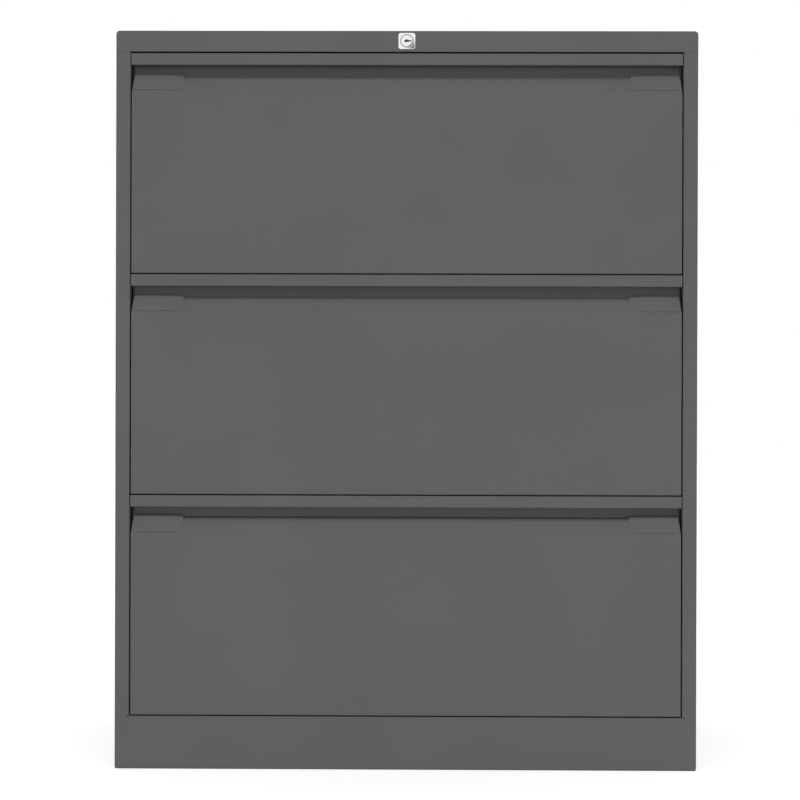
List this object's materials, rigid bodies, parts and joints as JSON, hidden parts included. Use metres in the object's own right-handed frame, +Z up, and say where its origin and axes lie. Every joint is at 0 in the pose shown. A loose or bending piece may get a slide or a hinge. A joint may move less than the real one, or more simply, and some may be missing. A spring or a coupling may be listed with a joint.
{
  "type": "lateral filing cabinet",
  "caption": "Wide low steel filing cabinet with full-width drawers, recessed finger pulls under a lip and a lock in the top fascia.",
  "frame": {"origin": "on the floor under the middle of the cabinet, lock plate included", "axes": "+Z up, +X to the right as seen from the front, the front faces -Y"},
  "size_m": [0.8, 0.4736, 1.016],
  "materials": {
    "graphite_paint": "fine matt powder coat",
    "zinc_steel": "bright zinc plate",
    "chrome": "polished",
    "label_plastic": "satin moulded"
  },
  "bodies": {
    "cabinet": {"left_side_panel": "graphite_paint", "right_side_panel": "graphite_paint", "top_cap": "graphite_paint", "back_panel": "graphite_paint", "base_pan": "graphite_paint", "plinth": "graphite_paint", "rear_left_post": "zinc_steel", "rear_right_post": "zinc_steel", "lock_housing": "chrome", "lock_shaft_bracket": "zinc_steel", "lower_bar_guide": "zinc_steel", "upper_bar_guide": "zinc_steel", "bottom_drawer_left_outer_slide": "zinc_steel", "bottom_drawer_right_outer_slide": "zinc_steel", "middle_drawer_left_outer_slide": "zinc_steel", "middle_drawer_right_outer_slide": "zinc_steel", "top_drawer_left_outer_slide": "zinc_steel", "top_drawer_right_outer_slide": "zinc_steel"},
    "lock_barrel": {"lock_plug": "chrome", "lock_shaft": "zinc_steel"},
    "locking_bar": {"lock_bar": "zinc_steel", "bottom_lock_hook": "zinc_steel", "middle_lock_hook": "zinc_steel", "top_lock_hook": "zinc_steel"},
    "bottom_drawer": {"bottom_drawer_front": "graphite_paint", "bottom_drawer_liner": "graphite_paint", "bottom_drawer_tray": "graphite_paint", "bottom_drawer_back": "graphite_paint", "bottom_drawer_front_hanging_rail": "zinc_steel", "bottom_drawer_rear_hanging_rail": "zinc_steel", "bottom_drawer_left_label_holder": "label_plastic", "bottom_drawer_right_label_holder": "label_plastic", "bottom_drawer_left_inner_slide": "zinc_steel", "bottom_drawer_right_inner_slide": "zinc_steel"},
    "bottom_slides": {"bottom_drawer_left_intermediate_slide": "zinc_steel", "bottom_drawer_right_intermediate_slide": "zinc_steel"},
    "middle_drawer": {"middle_drawer_front": "graphite_paint", "middle_drawer_liner": "graphite_paint", "middle_drawer_tray": "graphite_paint", "middle_drawer_back": "graphite_paint", "middle_drawer_front_hanging_rail": "zinc_steel", "middle_drawer_rear_hanging_rail": "zinc_steel", "middle_drawer_left_label_holder": "label_plastic", "middle_drawer_right_label_holder": "label_plastic", "middle_drawer_left_inner_slide": "zinc_steel", "middle_drawer_right_inner_slide": "zinc_steel"},
    "middle_slides": {"middle_drawer_left_intermediate_slide": "zinc_steel", "middle_drawer_right_intermediate_slide": "zinc_steel"},
    "top_drawer": {"top_drawer_front": "graphite_paint", "top_drawer_liner": "graphite_paint", "top_drawer_tray": "graphite_paint", "top_drawer_back": "graphite_paint", "top_drawer_front_hanging_rail": "zinc_steel", "top_drawer_rear_hanging_rail": "zinc_steel", "top_drawer_left_label_holder": "label_plastic", "top_drawer_right_label_holder": "label_plastic", "top_drawer_left_inner_slide": "zinc_steel", "top_drawer_right_inner_slide": "zinc_steel"},
    "top_slides": {"top_drawer_left_intermediate_slide": "zinc_steel", "top_drawer_right_intermediate_slide": "zinc_steel"}
  },
  "joints": [
    {"name": "bottom_drawer_slide", "type": "slide", "parent": "cabinet", "child": "bottom_drawer", "axis": [0, -1, 0], "range_m": [0, 0.4]},
    {"name": "bottom_slides_extend", "type": "slide", "parent": "cabinet", "child": "bottom_slides", "axis": [0, -1, 0], "range_m": [0, 0.2]},
    {"name": "middle_drawer_slide", "type": "slide", "parent": "cabinet", "child": "middle_drawer", "axis": [0, -1, 0], "range_m": [0, 0.4]},
    {"name": "middle_slides_extend", "type": "slide", "parent": "cabinet", "child": "middle_slides", "axis": [0, -1, 0], "range_m": [0, 0.2]},
    {"name": "top_drawer_slide", "type": "slide", "parent": "cabinet", "child": "top_drawer", "axis": [0, -1, 0], "range_m": [0, 0.4]},
    {"name": "top_slides_extend", "type": "slide", "parent": "cabinet", "child": "top_slides", "axis": [0, -1, 0], "range_m": [0, 0.2]},
    {"name": "lock_turn", "type": "hinge", "parent": "cabinet", "child": "lock_barrel", "pos_m": [0, 0, 1.0015], "axis": [0, 1, 0], "range_deg": [0, 90]},
    {"name": "locking_bar_lift", "type": "slide", "parent": "cabinet", "child": "locking_bar", "axis": [0, 0, 1], "range_m": [0, 0.008]}
  ],
  "couplings": [
    {"joint": "bottom_slides_extend", "follows": "bottom_drawer_slide", "ratio": 0.5},
    {"joint": "middle_slides_extend", "follows": "middle_drawer_slide", "ratio": 0.5},
    {"joint": "top_slides_extend", "follows": "top_drawer_slide", "ratio": 0.5},
    {"joint": "locking_bar_lift", "follows": "lock_turn", "m_per_rad": 0.00509}
  ]
}
